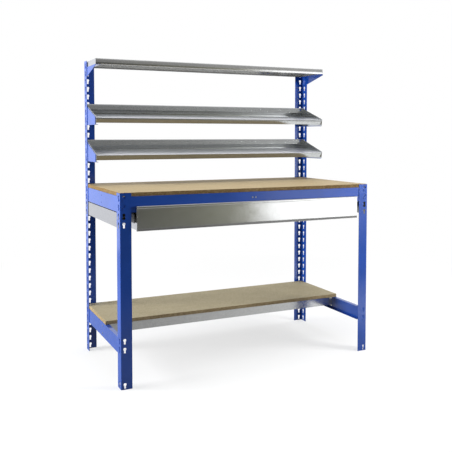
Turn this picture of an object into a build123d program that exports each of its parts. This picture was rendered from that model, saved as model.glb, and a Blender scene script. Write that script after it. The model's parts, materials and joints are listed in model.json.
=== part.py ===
from build123d import *
from math import cos, radians, sin
import os

# Workbench of punched angle posts and hooked beams, with a drawer, a half-depth lower shelf,
# two tilted trays and a top shelf. Origin on the floor, midway between the four posts.
# +X is to the right of a person at the drawer, +Y is to the back and +Z is up.

# Driving dimensions
bench_width = 1250.0
bench_depth = 610.0
hole_pitch = 37.5
first_hole_height = 16.0
rear_post_pitches = 38
front_post_pitches = 22

# Fits
fit_gap = 0.2
running_gap = 0.3
corner_gap = 0.3
cut_overrun = 5.0

# Posts: angle section punched with keyholes
post_flange = 49.0
post_sheet = 1.8
post_bend = 1.2
face_hole_inset = 17.0
side_hole_inset = 22.0
key_height = 23.0
key_head_width = 14.0
key_crown_width = 8.0
key_crown_drop = 5.0
key_neck_drop = 13.5
key_stem_width = 7.6

# Small round pieces are drawn with this many flat sides
stud_sides = 10
roller_sides = 20

# Studs that drop into the keyhole stems
stud_clearance = 0.6
stud_head_diameter = 12.5
stud_head_height = 1.6

# Beams: channels that hang on two studs at each end
beam_sheet = 1.5
beam_bend = 1.0
side_beam_height = 67.0
side_beam_flange = 19.0
front_beam_height = 50.0
front_beam_flange = 24.0
beam_top_over_hole = 7.0
end_plate_overlap = 24.0
tie_stud_diameter = 5.0
tie_stud_clearance = 0.6
tie_stud_head_diameter = 8.0
tie_stud_head_height = 1.2
side_tie_spacing = 32.0
front_tie_spacing = 16.0

# Ties and rail between beams
tie_height = 40.0
tie_flange = 30.0
tie_end_height = 26.0
rail_height = 50.0
rail_flange = 30.0
rail_tongue_height = 34.0
rail_end_height = 46.0
tie_end_gap = 1.5

# Boards
worktop_thickness = 16.0
shelf_board_thickness = 16.0
board_gap = 0.7
shelf_board_front = 50.0

# Drawer guides, hung on the side flanges of the posts
guide_sheet = 1.5
guide_bend = 1.2
guide_beam_gap = 4.0
guide_stud_margin = 5.8
guide_inner_height = 42.0
guide_end_gap = 1.0
guide_ear_width = 30.0
guide_ear_height = 34.0

# Drawer
drawer_post_gap = 20.0
drawer_front_height = 104.0
drawer_front_depth = 12.0
drawer_front_lip = 18.0
drawer_front_overlap = 8.0
drawer_front_hem = 8.0
drawer_beam_gap = 2.0
drawer_sheet = 1.0
drawer_side_inset = 8.0
drawer_depth = 520.0
drawer_height = 86.0
drawer_top_drop = 9.0
drawer_rim = 10.0
drawer_side_flange = 14.0

# Roller slides
slide_space = 13.0
slide_sheet = 1.2
cabinet_member_height = 35.0
cabinet_member_drop = 5.0
cabinet_member_length = 490.0
cabinet_member_setback = 5.0
cabinet_flange = 10.2
drawer_member_shortfall = 10.0
drawer_member_flange = 10.2
roller_diameter = 17.0
roller_width = 6.6
roller_bore_clearance = 0.4
roller_edge = 0.8
pin_diameter = 5.0
pin_head_diameter = 8.0
pin_head_height = 0.8
front_roller_inset = 12.0
rear_roller_inset = 12.0

# Shelf brackets
bracket_sheet = 2.0
bracket_flange = 25.0
bracket_rear_gap = 1.2

# Top shelf: a pan with turned-down edges
shelf_sheet = 1.0
shelf_bend = 0.8
top_shelf_depth = 210.0
top_shelf_lip = 27.0
top_shelf_return = 10.0
top_shelf_corner_slot = 1.6
top_shelf_seat_drop = 9.0
top_bracket_height = 45.0
top_bracket_tip = 5.0
top_bracket_horn = 21.0
top_shelf_pitches = 36

# Tilted trays
tray_tilt = 6.0
tray_floor_depth = 210.0
tray_lip = 25.0
tray_lip_return = 10.0
tray_rear_height = 50.0
tray_hem = 26.0
tray_hem_gap = 2.6
tray_end_front_rise = 4.0
tray_end_drop = 6.0
tray_bracket_reveal = 3.0
tray_bracket_setback = 8.0
tray_bracket_flange = 14.0
upper_tray_pitches = 30
upper_tray_seat_drop = 18.5
lower_tray_pitches = 25
lower_tray_seat_drop = 6.5

# Pitches from the lowest hole to the lower of the two holes that each piece hangs on
lower_beam_pitches = 4
guide_pitches = 18
upper_beam_pitches = 20
front_hung_pitches = (lower_beam_pitches, guide_pitches, upper_beam_pitches)

# Places worked out from the sizes above
rear_post_height = hole_pitch * rear_post_pitches
front_post_height = hole_pitch * front_post_pitches
frame_x = bench_width / 2
frame_y = bench_depth / 2
post_inner_x = frame_x - post_sheet
post_inner_y = frame_y - post_sheet
web_x = post_inner_x - fit_gap
web_y = post_inner_y - fit_gap
clear_x = frame_x - post_flange
clear_y = frame_y - post_flange
stud_diameter = key_stem_width - stud_clearance
stud_drop = key_height / 2 - stud_diameter / 2 - stud_clearance / 2
stud_reach = fit_gap + post_sheet + fit_gap
side_plane = Plane.YZ
front_plane = Plane.XZ


def hole_height(pitches):
    return first_hole_height + hole_pitch * pitches


def stud_height(pitches):
    return hole_height(pitches) - stud_drop


def stud_heights(pitches):
    # Heights of a piece's two studs, one pitch apart
    return stud_height(pitches), stud_height(pitches) + hole_pitch


def beam_top(pitches):
    return hole_height(pitches) + hole_pitch + beam_top_over_hole


def folded_strip(points, sheet, bend, side):
    # Section of a folded sheet: a line with rounded corners, thickened to one side
    with BuildSketch() as strip:
        with BuildLine():
            FilletPolyline(*points, radius=bend)
            offset(amount=sheet, side=side)
        make_face()
    return strip.sketch


def creased_strip(points, sheet, side):
    # Section of a folded sheet with sharp corners
    with BuildSketch() as strip:
        with BuildLine():
            Polyline(*points)
            offset(amount=sheet, side=side, kind=Kind.INTERSECTION)
        make_face()
    return strip.sketch


def channel(height, flange, sheet, bend):
    # Web on the local Y axis from 0 to height, flanges towards local -X
    return folded_strip([(-flange, 0), (0, 0), (0, height), (-flange, height)], sheet, bend, Side.LEFT)


def studs(plane, places, diameter, reach, head_diameter, head_height):
    # Shouldered studs that stand on a plane and point along its normal
    with BuildPart() as group:
        with BuildSketch(plane):
            with Locations(*places):
                RegularPolygon(diameter / 2, stud_sides)
        extrude(amount=reach + head_height)
        with BuildSketch(plane.offset(reach)):
            with Locations(*places):
                RegularPolygon(head_diameter / 2, stud_sides)
        extrude(amount=head_height)
    return group.part


# Keyhole: a wide head with sloped shoulders over a narrow stem
keyhole_half = [
    (key_crown_width / 2, key_height / 2),
    (key_head_width / 2, key_height / 2 - key_crown_drop),
    (key_stem_width / 2, key_height / 2 - key_neck_drop),
    (key_stem_width / 2, -key_height / 2),
]
with BuildSketch() as keyhole:
    with BuildLine():
        Polyline(*keyhole_half, *[(-x, y) for x, y in reversed(keyhole_half)], close=True)
    make_face()


def punched_post(height, holes, to_front):
    # Right-hand post: an angle with its outer corner outside, punched on both flanges
    out_y = -frame_y if to_front else frame_y
    inward = 1 if to_front else -1
    with BuildPart() as post:
        with BuildSketch():
            with BuildLine():
                Polyline(
                    (frame_x, out_y),
                    (frame_x - post_flange, out_y),
                    (frame_x - post_flange, out_y + inward * post_sheet),
                    (frame_x - post_sheet, out_y + inward * post_sheet),
                    (frame_x - post_sheet, out_y + inward * post_flange),
                    (frame_x, out_y + inward * post_flange),
                    close=True,
                )
            make_face()
            outer = vertices().sort_by_distance((frame_x, out_y))[0]
            fillet(outer, radius=post_bend + post_sheet)
            inner = vertices().sort_by_distance((frame_x - post_sheet, out_y + inward * post_sheet))[0]
            fillet(inner, radius=post_bend)
        extrude(amount=height)
        with BuildSketch(front_plane.offset(-out_y)):
            with Locations(*[(frame_x - face_hole_inset, hole_height(n)) for n in holes]):
                add(keyhole.sketch)
        extrude(amount=cut_overrun, both=True, mode=Mode.SUBTRACT)
        with BuildSketch(side_plane.offset(frame_x)):
            with Locations(*[(out_y + inward * side_hole_inset, hole_height(n)) for n in holes]):
                add(keyhole.sketch)
        extrude(amount=cut_overrun, both=True, mode=Mode.SUBTRACT)
    return post.part


def mirrored(piece, plane):
    with BuildPart() as twin:
        mirror(piece, about=plane)
    return twin.part


def lowered(piece, drop):
    with BuildPart() as copy:
        with Locations((0, 0, -drop)):
            add(piece)
    return copy.part


pieces = {}

# Posts: the front ones are punched at the foot and where something hangs
front_holes = [0] + [pitches + step for pitches in front_hung_pitches for step in (0, 1)]
pieces["post_front_right"] = punched_post(front_post_height, front_holes, True)
pieces["post_rear_right"] = punched_post(rear_post_height, range(rear_post_pitches), False)
pieces["post_front_left"] = mirrored(pieces["post_front_right"], Plane.YZ)
pieces["post_rear_left"] = mirrored(pieces["post_rear_right"], Plane.YZ)

# Front and rear beams: channel between the posts, tall end plates behind the post flanges
upper_top = beam_top(upper_beam_pitches)
front_beam_bottom = upper_top - front_beam_height
end_plate_bottom = upper_top - side_beam_height
front_web_end = web_x - beam_sheet - corner_gap
tie_height_on_beam = upper_top - front_beam_height / 2
front_tie_places = [(shift * front_tie_spacing / 2, tie_height_on_beam) for shift in (-1, 1)]

with BuildPart() as front_beam:
    with BuildSketch(Plane.YZ.offset(-clear_x)):
        with Locations((-web_y, front_beam_bottom)):
            add(mirror(
                channel(front_beam_height, front_beam_flange, beam_sheet, beam_bend),
                about=Plane.YZ, mode=Mode.PRIVATE,
            ))
    extrude(amount=clear_x + clear_x)
    plate_inner = clear_x - end_plate_overlap
    plate_middle = (plate_inner + front_web_end) / 2
    plate_height_middle = (end_plate_bottom + upper_top) / 2
    with BuildSketch(front_plane.offset(web_y - beam_sheet)):
        with Locations((-plate_middle, plate_height_middle), (plate_middle, plate_height_middle)):
            Rectangle(front_web_end - plate_inner, upper_top - end_plate_bottom)
    extrude(amount=beam_sheet)
    add(studs(
        front_plane.offset(web_y),
        [
            (side * (frame_x - face_hole_inset), height)
            for side in (-1, 1) for height in stud_heights(upper_beam_pitches)
        ],
        stud_diameter, stud_reach, stud_head_diameter, stud_head_height,
    ))
    with BuildSketch(front_plane.offset(web_y)):
        with Locations(*front_tie_places):
            RegularPolygon((tie_stud_diameter + tie_stud_clearance) / 2, stud_sides)
    extrude(amount=cut_overrun, both=True, mode=Mode.SUBTRACT)

lower_drop = hole_pitch * (upper_beam_pitches - lower_beam_pitches)
pieces["front_beam"] = front_beam.part
pieces["rear_beam"] = mirrored(pieces["front_beam"], Plane.XZ)
pieces["lower_rear_beam"] = lowered(pieces["rear_beam"], lower_drop)

# Side beams: taller channels whose webs carry the studs, with two tie holes at mid-depth
side_beam_bottom = upper_top - side_beam_height
side_beam_middle = side_beam_bottom + side_beam_height / 2
side_web_end = web_y - beam_sheet - corner_gap
side_tie_heights = [side_beam_middle + shift * side_tie_spacing / 2 for shift in (-1, 1)]

with BuildPart() as side_beam_right:
    with BuildSketch(front_plane.offset(-clear_y)):
        with Locations((web_x, side_beam_bottom)):
            add(channel(side_beam_height, side_beam_flange, beam_sheet, beam_bend))
    extrude(amount=clear_y + clear_y)
    with BuildSketch(side_plane.offset(web_x - beam_sheet)):
        with Locations((0, side_beam_middle)):
            Rectangle(side_web_end + side_web_end, side_beam_height)
    extrude(amount=beam_sheet)
    add(studs(
        side_plane.offset(web_x),
        [
            (end * (frame_y - side_hole_inset), height)
            for end in (-1, 1) for height in stud_heights(upper_beam_pitches)
        ],
        stud_diameter, stud_reach, stud_head_diameter, stud_head_height,
    ))
    with BuildSketch(side_plane.offset(web_x)):
        with Locations(*[(0, height) for height in side_tie_heights]):
            RegularPolygon((tie_stud_diameter + tie_stud_clearance) / 2, stud_sides)
    extrude(amount=cut_overrun, both=True, mode=Mode.SUBTRACT)

pieces["side_beam_right"] = side_beam_right.part
pieces["side_beam_left"] = mirrored(pieces["side_beam_right"], Plane.YZ)
pieces["lower_side_beam_right"] = lowered(pieces["side_beam_right"], lower_drop)
pieces["lower_side_beam_left"] = lowered(pieces["side_beam_left"], lower_drop)

# Cross tie under the middle of the worktop, riveted to the front and rear beam webs
tie_bottom = upper_top - tie_height
tie_run = web_y - front_beam_flange - tie_end_gap
tie_reach = web_y - beam_sheet - fit_gap
tie_end_middle = tie_height_on_beam
tie_rivet_reach = fit_gap + beam_sheet + fit_gap

with BuildPart() as worktop_tie:
    with BuildSketch(front_plane.offset(-tie_run)):
        with Locations((tie_flange / 2, tie_bottom)):
            add(channel(tie_height, tie_flange, beam_sheet, beam_bend))
    extrude(amount=tie_run + tie_run)
    with BuildSketch(side_plane.offset(tie_flange / 2 - beam_sheet)):
        with Locations((0, tie_end_middle)):
            Rectangle(tie_reach + tie_reach, tie_end_height)
    extrude(amount=beam_sheet)
    with BuildSketch(front_plane.offset(tie_reach - beam_sheet)):
        with Locations((0, tie_end_middle)):
            Rectangle(tie_flange, tie_end_height)
    extrude(amount=beam_sheet)
    with BuildSketch(front_plane.offset(-tie_reach)):
        with Locations((0, tie_end_middle)):
            Rectangle(tie_flange, tie_end_height)
    extrude(amount=beam_sheet)
    front_rivets = studs(
        front_plane.offset(tie_reach), front_tie_places,
        tie_stud_diameter, tie_rivet_reach, tie_stud_head_diameter, tie_stud_head_height,
    )
    add(front_rivets)
    mirror(front_rivets, about=Plane.XZ)

pieces["worktop_tie"] = worktop_tie.part

# Rail under the front edge of the half-depth shelf, riveted to the lower side beams
lower_top = upper_top - lower_drop
lower_middle = side_beam_middle - lower_drop
rail_bottom = lower_top - rail_height
rail_run = web_x - side_beam_flange - tie_end_gap
rail_reach = web_x - beam_sheet - fit_gap

with BuildPart() as shelf_front_rail:
    with BuildSketch(Plane.YZ.offset(-rail_run)):
        with Locations((-rail_flange / 2, rail_bottom)):
            add(mirror(
                channel(rail_height, rail_flange, beam_sheet, beam_bend),
                about=Plane.YZ, mode=Mode.PRIVATE,
            ))
    extrude(amount=rail_run + rail_run)
    with BuildSketch(front_plane.offset(rail_flange / 2 - beam_sheet)):
        with Locations((0, rail_bottom + rail_tongue_height / 2)):
            Rectangle(rail_reach + rail_reach, rail_tongue_height)
    extrude(amount=beam_sheet)
    with BuildSketch(side_plane.offset(rail_reach - beam_sheet)):
        with Locations((0, lower_middle)):
            Rectangle(rail_flange, rail_end_height)
    extrude(amount=beam_sheet)
    with BuildSketch(side_plane.offset(-rail_reach)):
        with Locations((0, lower_middle)):
            Rectangle(rail_flange, rail_end_height)
    extrude(amount=beam_sheet)
    right_rivets = studs(
        side_plane.offset(rail_reach), [(0, height - lower_drop) for height in side_tie_heights],
        tie_stud_diameter, tie_rivet_reach, tie_stud_head_diameter, tie_stud_head_height,
    )
    add(right_rivets)
    mirror(right_rivets, about=Plane.YZ)

pieces["shelf_front_rail"] = shelf_front_rail.part

# Boards, laid on the beams inside the posts
board_x = post_inner_x - board_gap
board_y = post_inner_y - board_gap

with BuildPart() as worktop:
    with BuildSketch(Plane.XY.offset(upper_top + fit_gap)):
        Rectangle(board_x + board_x, board_y + board_y)
    extrude(amount=worktop_thickness)

with BuildPart() as lower_shelf_board:
    with BuildSketch(Plane.XY.offset(lower_top + fit_gap)):
        with Locations((0, (board_y - shelf_board_front) / 2)):
            Rectangle(board_x + board_x, board_y + shelf_board_front)
    extrude(amount=shelf_board_thickness)

pieces["worktop"] = worktop.part
pieces["lower_shelf_board"] = lower_shelf_board.part

# Drawer guide: folded sheet hung on the posts, its inner wall carries the slide
front_pan_x = clear_x - drawer_post_gap
drawer_x = front_pan_x - drawer_side_inset
guide_inner_x = drawer_x + slide_space
guide_top = side_beam_bottom - guide_beam_gap
guide_end_y = post_inner_y - guide_end_gap
guide_bottom = stud_height(guide_pitches) - guide_stud_margin
guide_stud_top = stud_heights(guide_pitches)[1]
cabinet_top = guide_top - cabinet_member_drop
cabinet_bottom = cabinet_top - cabinet_member_height
cabinet_front_y = -guide_end_y + cabinet_member_setback
roller_radius = roller_diameter / 2
roller_height = cabinet_bottom + slide_sheet + running_gap + roller_radius

with BuildPart() as drawer_guide_right:
    with BuildSketch(front_plane.offset(-guide_end_y)):
        add(folded_strip(
            [
                (web_x, guide_bottom), (web_x, guide_top),
                (guide_inner_x, guide_top), (guide_inner_x, guide_top - guide_inner_height),
            ],
            guide_sheet, guide_bend, Side.LEFT,
        ))
    extrude(amount=guide_end_y + guide_end_y)
    add(studs(
        side_plane.offset(web_x),
        [
            (end * (frame_y - side_hole_inset), height)
            for end in (-1, 1) for height in stud_heights(guide_pitches)
        ],
        stud_diameter, stud_reach, stud_head_diameter, stud_head_height,
    ))
    with BuildSketch(front_plane.offset(web_y - guide_sheet)):
        with Locations((web_x - post_bend - guide_ear_width / 2, guide_stud_top)):
            Rectangle(guide_ear_width, guide_ear_height)
    extrude(amount=guide_sheet)
    add(studs(
        front_plane.offset(web_y), [(frame_x - face_hole_inset, guide_stud_top)],
        stud_diameter, stud_reach, stud_head_diameter, stud_head_height,
    ))

pieces["drawer_guide_right"] = drawer_guide_right.part
pieces["drawer_guide_left"] = mirrored(pieces["drawer_guide_right"], Plane.YZ)

# Cabinet member of the slide: channel that opens to the drawer, with a pin for the front roller
cabinet_web_x = guide_inner_x - fit_gap
front_roller_y = cabinet_front_y + front_roller_inset
drawer_member_x = drawer_x + fit_gap
drawer_web_x = drawer_member_x + slide_sheet
drawer_member_front_y = cabinet_front_y
drawer_member_length = cabinet_member_length - drawer_member_shortfall
rear_roller_y = drawer_member_front_y + drawer_member_length - rear_roller_inset
roller_gap_x = cabinet_web_x - slide_sheet - drawer_web_x
roller_side_gap = (roller_gap_x - roller_width) / 2
roller_middle_x = drawer_web_x + roller_gap_x / 2
pin_reach = roller_gap_x - roller_side_gap + running_gap

with BuildPart() as cabinet_slide_right:
    with BuildSketch(front_plane.offset(-cabinet_front_y - cabinet_member_length)):
        add(creased_strip(
            [
                (cabinet_web_x - cabinet_flange, cabinet_bottom), (cabinet_web_x, cabinet_bottom),
                (cabinet_web_x, cabinet_top), (cabinet_web_x - cabinet_flange, cabinet_top),
            ],
            slide_sheet, Side.LEFT,
        ))
    extrude(amount=cabinet_member_length)
    with BuildSketch(side_plane.offset(cabinet_web_x - slide_sheet)):
        with Locations((front_roller_y, roller_height)):
            RegularPolygon(pin_diameter / 2, stud_sides)
    extrude(amount=-pin_reach - pin_head_height)
    with BuildSketch(side_plane.offset(cabinet_web_x - slide_sheet - pin_reach)):
        with Locations((front_roller_y, roller_height)):
            RegularPolygon(pin_head_diameter / 2, stud_sides)
    extrude(amount=-pin_head_height)

pieces["cabinet_slide_right"] = cabinet_slide_right.part
pieces["cabinet_slide_left"] = mirrored(pieces["cabinet_slide_right"], Plane.YZ)

# Drawer member: an angle whose flange runs on the front roller, with a pin for the rear roller
drawer_flange_under = roller_height + roller_radius + running_gap
drawer_member_top = drawer_flange_under + slide_sheet

with BuildPart() as drawer_slide_right:
    with BuildSketch(front_plane.offset(-drawer_member_front_y - drawer_member_length)):
        add(creased_strip(
            [
                (drawer_member_x, cabinet_bottom), (drawer_member_x, drawer_member_top),
                (drawer_member_x + drawer_member_flange, drawer_member_top),
            ],
            slide_sheet, Side.RIGHT,
        ))
    extrude(amount=drawer_member_length)
    with BuildSketch(side_plane.offset(drawer_web_x)):
        with Locations((rear_roller_y, roller_height)):
            RegularPolygon(pin_diameter / 2, stud_sides)
    extrude(amount=pin_reach + pin_head_height)
    with BuildSketch(side_plane.offset(drawer_web_x + pin_reach)):
        with Locations((rear_roller_y, roller_height)):
            RegularPolygon(pin_head_diameter / 2, stud_sides)
    extrude(amount=pin_head_height)

pieces["drawer_slide_right"] = drawer_slide_right.part
pieces["drawer_slide_left"] = mirrored(pieces["drawer_slide_right"], Plane.YZ)


def roller(y):
    # Nylon roller with chamfered rims and a bore for its pin
    with BuildPart() as wheel:
        with BuildSketch(side_plane.offset(roller_middle_x - roller_width / 2)):
            with Locations((y, roller_height)):
                RegularPolygon(roller_radius, roller_sides)
        extrude(amount=roller_width)
        chamfer(wheel.edges().filter_by(Axis.X, reverse=True), length=roller_edge)
        with BuildSketch(side_plane.offset(roller_middle_x)):
            with Locations((y, roller_height)):
                RegularPolygon((pin_diameter + roller_bore_clearance) / 2, stud_sides)
        extrude(amount=roller_width, both=True, mode=Mode.SUBTRACT)
    return wheel.part


pieces["front_roller_right"] = roller(front_roller_y)
pieces["front_roller_left"] = mirrored(pieces["front_roller_right"], Plane.YZ)
pieces["rear_roller_right"] = roller(rear_roller_y)
pieces["rear_roller_left"] = mirrored(pieces["rear_roller_right"], Plane.YZ)

# Drawer: a pan folded from floor, front and rear walls, between two folded sides
drawer_front_top = front_beam_bottom + drawer_front_overlap
drawer_front_back_y = -web_y - drawer_beam_gap
drawer_front_face_y = drawer_front_back_y - drawer_front_depth
drawer_body_front_y = drawer_front_back_y + fit_gap
drawer_body_rear_y = drawer_body_front_y + drawer_depth
drawer_body_top = front_beam_bottom - drawer_top_drop
drawer_body_bottom = drawer_body_top - drawer_height
drawer_pan_x = drawer_x - drawer_sheet - fit_gap
drawer_pan_floor = drawer_body_bottom + drawer_sheet + fit_gap
drawer_pan_top = drawer_body_top - drawer_sheet - fit_gap

with BuildPart() as drawer_pan:
    with BuildSketch(Plane.YZ.offset(-drawer_pan_x)):
        add(creased_strip(
            [
                (drawer_body_front_y + drawer_rim, drawer_pan_top),
                (drawer_body_front_y, drawer_pan_top),
                (drawer_body_front_y, drawer_pan_floor),
                (drawer_body_rear_y, drawer_pan_floor),
                (drawer_body_rear_y, drawer_pan_top),
                (drawer_body_rear_y - drawer_rim, drawer_pan_top),
            ],
            drawer_sheet, Side.LEFT,
        ))
    extrude(amount=drawer_pan_x + drawer_pan_x)

with BuildPart() as drawer_side_right:
    with BuildSketch(front_plane.offset(-drawer_body_rear_y)):
        add(creased_strip(
            [
                (drawer_x - drawer_side_flange, drawer_body_bottom),
                (drawer_x, drawer_body_bottom),
                (drawer_x, drawer_body_top),
                (drawer_x - drawer_rim, drawer_body_top),
            ],
            drawer_sheet, Side.LEFT,
        ))
    extrude(amount=drawer_depth)

pieces["drawer_pan"] = drawer_pan.part
pieces["drawer_side_right"] = drawer_side_right.part
pieces["drawer_side_left"] = mirrored(pieces["drawer_side_right"], Plane.YZ)

# Drawer front: hemmed along its top, with turned-in lips, screwed to the front wall of the pan
front_pan_bottom = drawer_front_top - drawer_front_height

with BuildPart() as drawer_front:
    with BuildSketch(Plane.YZ.offset(-front_pan_x)):
        add(creased_strip(
            [
                (drawer_front_back_y, drawer_front_top - drawer_front_lip),
                (drawer_front_back_y, drawer_front_top),
                (drawer_front_face_y, drawer_front_top),
                (drawer_front_face_y, front_pan_bottom),
                (drawer_front_back_y, front_pan_bottom),
                (drawer_front_back_y, front_pan_bottom + drawer_front_lip),
            ],
            drawer_sheet, Side.LEFT,
        ))
    extrude(amount=front_pan_x + front_pan_x)
    end_middle = (
        (drawer_front_face_y + drawer_front_back_y) / 2,
        (drawer_front_top + front_pan_bottom) / 2,
    )
    for end in (-front_pan_x, front_pan_x - drawer_sheet):
        with BuildSketch(Plane.YZ.offset(end)):
            with Locations(end_middle):
                Rectangle(drawer_front_depth - 2 * drawer_sheet, drawer_front_height - 2 * drawer_sheet)
        extrude(amount=drawer_sheet)
    with BuildSketch(front_plane.offset(-drawer_front_face_y)):
        with Locations((0, drawer_front_top - drawer_front_hem / 2)):
            Rectangle(front_pan_x + front_pan_x, drawer_front_hem)
    extrude(amount=drawer_sheet)

pieces["drawer_front"] = drawer_front.part

# Top shelf and its brackets
bracket_x = web_x
shelf_x = bracket_x - bracket_sheet - fit_gap
shelf_rear_y = post_inner_y - bracket_rear_gap
top_shelf_front_y = shelf_rear_y - top_shelf_depth
top_shelf_middle_y = shelf_rear_y - top_shelf_depth / 2
top_flange_height = hole_height(top_shelf_pitches) + hole_pitch - top_shelf_seat_drop
top_shelf_bottom = top_flange_height + fit_gap

with BuildPart() as top_shelf:
    with Locations((0, top_shelf_middle_y, top_shelf_bottom + top_shelf_lip / 2)):
        Box(shelf_x + shelf_x, top_shelf_depth, top_shelf_lip)
    offset(amount=-shelf_sheet, openings=top_shelf.faces().sort_by(Axis.Z)[0])
    with BuildSketch(Plane.XY.offset(top_shelf_bottom)):
        for side in (-1, 1):
            with Locations((0, top_shelf_middle_y + side * (top_shelf_depth - top_shelf_return) / 2)):
                Rectangle(shelf_x + shelf_x, top_shelf_return)
    extrude(amount=shelf_sheet)
    slot_y = top_shelf_depth / 2 - shelf_sheet - top_shelf_corner_slot / 2
    with BuildSketch(Plane.XY.offset(top_shelf_bottom)):
        for side in (-1, 1):
            for end in (-1, 1):
                with Locations((end * shelf_x, top_shelf_middle_y + side * slot_y)):
                    Rectangle(2 * top_shelf_return, top_shelf_corner_slot)
    extrude(amount=top_shelf_lip - shelf_sheet, mode=Mode.SUBTRACT)


def bracket_studs(pitches):
    return studs(
        side_plane.offset(bracket_x),
        [(frame_y - side_hole_inset, height) for height in stud_heights(pitches)],
        stud_diameter, stud_reach, stud_head_diameter, stud_head_height,
    )


with BuildPart() as top_shelf_bracket_right:
    with BuildSketch(side_plane.offset(bracket_x - bracket_sheet)):
        with BuildLine():
            Polyline(
                (shelf_rear_y, top_flange_height - top_bracket_height),
                (clear_y, top_flange_height - top_bracket_height),
                (top_shelf_front_y, top_flange_height - top_bracket_tip),
                (top_shelf_front_y, top_flange_height),
                (clear_y, top_flange_height),
                (clear_y, top_flange_height + top_bracket_horn),
                (shelf_rear_y, top_flange_height + top_bracket_horn),
                close=True,
            )
        make_face()
    extrude(amount=bracket_sheet)
    with BuildSketch(Plane.XY.offset(top_flange_height - bracket_sheet)):
        with Locations((bracket_x - bracket_flange / 2, top_shelf_middle_y)):
            Rectangle(bracket_flange, top_shelf_depth)
    extrude(amount=bracket_sheet)
    add(bracket_studs(top_shelf_pitches))

pieces["top_shelf"] = top_shelf.part
pieces["top_shelf_bracket_right"] = top_shelf_bracket_right.part
pieces["top_shelf_bracket_left"] = mirrored(pieces["top_shelf_bracket_right"], Plane.YZ)

# Tilted tray: one folded strip with end plates, low at the front
tilt = radians(tray_tilt)
tray_front_y = shelf_rear_y - tray_floor_depth * cos(tilt)


def tray(pitches, seat_drop):
    lip_bottom = hole_height(pitches) - seat_drop
    floor_front = lip_bottom + tray_lip * cos(tilt)

    def turned(depth, rise):
        # Point of the tilted section, from its front floor edge
        return (
            tray_front_y + depth * cos(tilt) - rise * sin(tilt),
            floor_front + depth * sin(tilt) + rise * cos(tilt),
        )

    hem_depth = tray_floor_depth - tray_hem_gap
    rear_top = turned(tray_floor_depth, tray_rear_height)
    end_bottom = lip_bottom - tray_end_drop
    end_front_y, lip_front_z = turned(0, -tray_lip)
    with BuildPart() as pan:
        with BuildSketch(Plane.YZ.offset(-shelf_x)):
            add(folded_strip(
                [
                    turned(tray_lip_return, -tray_lip), turned(0, -tray_lip), turned(0, 0),
                    turned(tray_floor_depth, 0), rear_top,
                    turned(hem_depth, tray_rear_height), turned(hem_depth, tray_rear_height - tray_hem),
                ],
                shelf_sheet, shelf_bend, Side.RIGHT,
            ))
        extrude(amount=shelf_x + shelf_x)
        for end in (-shelf_x, shelf_x - shelf_sheet):
            with BuildSketch(Plane.YZ.offset(end)):
                with BuildLine():
                    Polyline(
                        (shelf_rear_y, end_bottom),
                        (end_front_y, end_bottom),
                        (end_front_y, lip_front_z),
                        turned(0, tray_end_front_rise),
                        rear_top,
                        (shelf_rear_y, rear_top[1]),
                        close=True,
                    )
                make_face()
            extrude(amount=shelf_sheet)
    with BuildPart() as bracket:
        flange_top = end_bottom - fit_gap
        tip_y = end_front_y + tray_bracket_setback
        slope = (rear_top[1] - turned(0, tray_end_front_rise)[1]) / (rear_top[0] - tray_front_y)
        tip_top = turned(0, tray_end_front_rise)[1] + slope * tray_bracket_setback - tray_bracket_reveal
        with BuildSketch(side_plane.offset(bracket_x - bracket_sheet)):
            with BuildLine():
                Polyline(
                    (shelf_rear_y, flange_top - bracket_sheet),
                    (tip_y, flange_top - bracket_sheet),
                    (tip_y, tip_top),
                    (shelf_rear_y, tip_top + slope * (shelf_rear_y - tip_y)),
                    close=True,
                )
            make_face()
        extrude(amount=bracket_sheet)
        with BuildSketch(Plane.XY.offset(flange_top - bracket_sheet)):
            with Locations((bracket_x - tray_bracket_flange / 2, (shelf_rear_y + tip_y) / 2)):
                Rectangle(tray_bracket_flange, shelf_rear_y - tip_y)
        extrude(amount=bracket_sheet)
        add(bracket_studs(pitches))
    return pan.part, bracket.part


for name, pitches, seat_drop in (
    ("upper_tray", upper_tray_pitches, upper_tray_seat_drop),
    ("lower_tray", lower_tray_pitches, lower_tray_seat_drop),
):
    pan_part, bracket_part = tray(pitches, seat_drop)
    pieces[name] = pan_part
    pieces[name + "_bracket_right"] = bracket_part
    pieces[name + "_bracket_left"] = mirrored(bracket_part, Plane.YZ)

os.makedirs("parts", exist_ok=True)
for name, piece in pieces.items():
    piece.label = name
    export_step(piece, "parts/" + name + ".step")
    print(name, "solids", len(piece.solids()))
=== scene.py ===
import json
import math
import bmesh
import bpy
import numpy as np
from mathutils import Matrix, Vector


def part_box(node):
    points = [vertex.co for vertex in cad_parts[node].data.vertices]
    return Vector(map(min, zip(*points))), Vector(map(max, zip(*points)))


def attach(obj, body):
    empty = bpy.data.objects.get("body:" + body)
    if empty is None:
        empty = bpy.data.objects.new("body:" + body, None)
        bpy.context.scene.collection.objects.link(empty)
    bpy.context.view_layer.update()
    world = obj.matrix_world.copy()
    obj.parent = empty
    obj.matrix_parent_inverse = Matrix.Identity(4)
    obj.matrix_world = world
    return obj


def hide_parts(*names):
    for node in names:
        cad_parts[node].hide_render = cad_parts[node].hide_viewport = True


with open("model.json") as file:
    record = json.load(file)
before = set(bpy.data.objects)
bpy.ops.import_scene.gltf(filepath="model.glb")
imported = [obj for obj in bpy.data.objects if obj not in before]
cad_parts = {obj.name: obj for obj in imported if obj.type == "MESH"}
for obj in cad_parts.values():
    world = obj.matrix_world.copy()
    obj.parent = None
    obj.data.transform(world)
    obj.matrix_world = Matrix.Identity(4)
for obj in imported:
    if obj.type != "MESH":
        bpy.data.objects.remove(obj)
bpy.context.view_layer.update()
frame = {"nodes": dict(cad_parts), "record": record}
scene = bpy.context.scene
mm = 0.001  # sizes below are in millimetres unless a note says metres
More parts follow.
